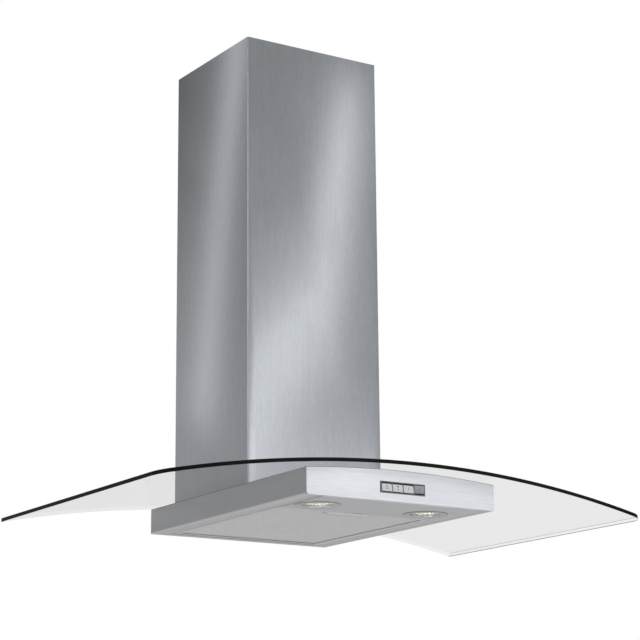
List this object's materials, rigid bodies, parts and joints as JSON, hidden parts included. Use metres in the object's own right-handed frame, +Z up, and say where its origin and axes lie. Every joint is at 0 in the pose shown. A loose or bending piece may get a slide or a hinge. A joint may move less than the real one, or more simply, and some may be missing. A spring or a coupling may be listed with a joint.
{
  "type": "curved glass range hood",
  "caption": "Wall-mounted cooker hood: curved glass canopy over a slim steel body, telescopic chimney, swing-down grease filter, lamps, rocker keys and a double-inlet blower.",
  "frame": {"origin": "middle of the wall rail's back face, on the wall", "axes": "+X to the right of someone facing the hood, +Y into the wall, +Z up; the hood's front faces -Y"},
  "size_m": [0.9, 0.547, 0.8265],
  "materials": {
    "brushed_steel": "brushed",
    "panel_steel": "fine brushed, across",
    "chimney_steel": "fine brushed, upright",
    "clear_glass": "clear, dark polished edge",
    "foam": "matt",
    "zinc_steel": "zinc plated",
    "spring_steel": "smooth",
    "dark_plastic": "moulded",
    "grey_plastic": "moulded",
    "light_plastic": "moulded",
    "key_plastic": "satin",
    "motor_paint": "painted",
    "aluminium": "satin",
    "lamp_ring": "satin",
    "lamp_glass": "clear",
    "reflector": "bright",
    "ceramic": "glazed"
  },
  "bodies": {
    "canopy": {"body_casing": "brushed_steel", "front_panel": "panel_steel", "light_panel": "brushed_steel", "glass_canopy": "clear_glass", "glass_gasket": "foam", "chimney_seal": "foam", "lower_chimney": "chimney_steel", "blower_box": "zinc_steel", "blower_box_back": "zinc_steel", "blower_box_lid": "zinc_steel", "wall_rail": "zinc_steel", "chimney_clip_left": "spring_steel", "chimney_clip_right": "spring_steel", "clamp_screw_front_left": "zinc_steel", "clamp_screw_rear_left": "zinc_steel", "clamp_screw_front_right": "zinc_steel", "clamp_screw_rear_right": "zinc_steel", "blower_scroll_left": "dark_plastic", "blower_scroll_right": "dark_plastic", "inlet_guard": "grey_plastic", "motor_mount": "zinc_steel", "fan_motor": "motor_paint", "outlet_collar": "dark_plastic", "flap_pin": "spring_steel", "wiring_box": "dark_plastic", "wiring_box_lid": "dark_plastic", "cable_gland": "dark_plastic", "capacitor": "light_plastic", "lamp_transformer": "light_plastic", "lamp_bezel_left": "lamp_ring", "lamp_bezel_right": "lamp_ring", "lamp_lens_left": "lamp_glass", "lamp_lens_right": "lamp_glass", "lamp_reflector_left": "reflector", "lamp_reflector_right": "reflector", "lamp_bulb_left": "ceramic", "lamp_bulb_right": "ceramic", "switch_bezel": "grey_plastic", "switch_block": "dark_plastic", "filter_catch": "spring_steel"},
    "upper_chimney": {"upper_chimney": "chimney_steel", "chimney_bracket": "zinc_steel", "bracket_screw_left": "zinc_steel", "bracket_screw_right": "zinc_steel"},
    "impeller": {"impeller": "grey_plastic", "motor_shaft": "spring_steel"},
    "flap_left": {"flap_left": "grey_plastic"},
    "flap_right": {"flap_right": "grey_plastic"},
    "grease_filter": {"filter_frame": "aluminium", "filter_mesh_lower": "aluminium", "filter_mesh_upper": "aluminium", "filter_handle": "grey_plastic", "latch_spring": "spring_steel"},
    "filter_latch": {"filter_latch": "light_plastic"},
    "rocker_key_1": {"rocker_key_1": "key_plastic"},
    "rocker_key_2": {"rocker_key_2": "key_plastic"},
    "rocker_key_3": {"rocker_key_3": "key_plastic"},
    "rocker_key_4": {"rocker_key_4": "key_plastic"}
  },
  "joints": [
    {"name": "upper_chimney_slide", "type": "slide", "parent": "canopy", "child": "upper_chimney", "axis": [0, 0, 1], "range_m": [0, 0.176]},
    {"name": "impeller_spin", "type": "hinge", "parent": "canopy", "child": "impeller", "pos_m": [0, -0.108, -0.08], "axis": [1, 0, 0], "continuous": true},
    {"name": "flap_left_hinge", "type": "hinge", "parent": "canopy", "child": "flap_left", "pos_m": [0, -0.144, 0.0693], "axis": [0, 1, 0], "range_deg": [0, 75]},
    {"name": "flap_right_hinge", "type": "hinge", "parent": "canopy", "child": "flap_right", "pos_m": [0, -0.144, 0.0693], "axis": [0, -1, 0], "range_deg": [0, 75]},
    {"name": "filter_hinge", "type": "hinge", "parent": "canopy", "child": "grease_filter", "pos_m": [0, -0.02, -0.2537], "axis": [1, 0, 0], "range_deg": [0, 60], "deforming": ["filter_catch"]},
    {"name": "latch_slide", "type": "slide", "parent": "grease_filter", "child": "filter_latch", "axis": [0, 1, 0], "range_m": [0, 0.006], "stiffness_N_per_m": 600, "springref_m": -0.003, "deforming": ["latch_spring"]},
    {"name": "rocker_key_1_tilt", "type": "hinge", "parent": "canopy", "child": "rocker_key_1", "pos_m": [-0.03255, -0.4961, -0.2335], "axis": [1, 0, 0], "range_deg": [0, 18]},
    {"name": "rocker_key_2_tilt", "type": "hinge", "parent": "canopy", "child": "rocker_key_2", "pos_m": [-0.01245, -0.4961, -0.2335], "axis": [1, 0, 0], "range_deg": [0, 18]},
    {"name": "rocker_key_3_tilt", "type": "hinge", "parent": "canopy", "child": "rocker_key_3", "pos_m": [0.00765, -0.4961, -0.2335], "axis": [1, 0, 0], "range_deg": [0, 18]},
    {"name": "rocker_key_4_tilt", "type": "hinge", "parent": "canopy", "child": "rocker_key_4", "pos_m": [0.02775, -0.4961, -0.2335], "axis": [1, 0, 0], "range_deg": [-18, 0]}
  ]
}
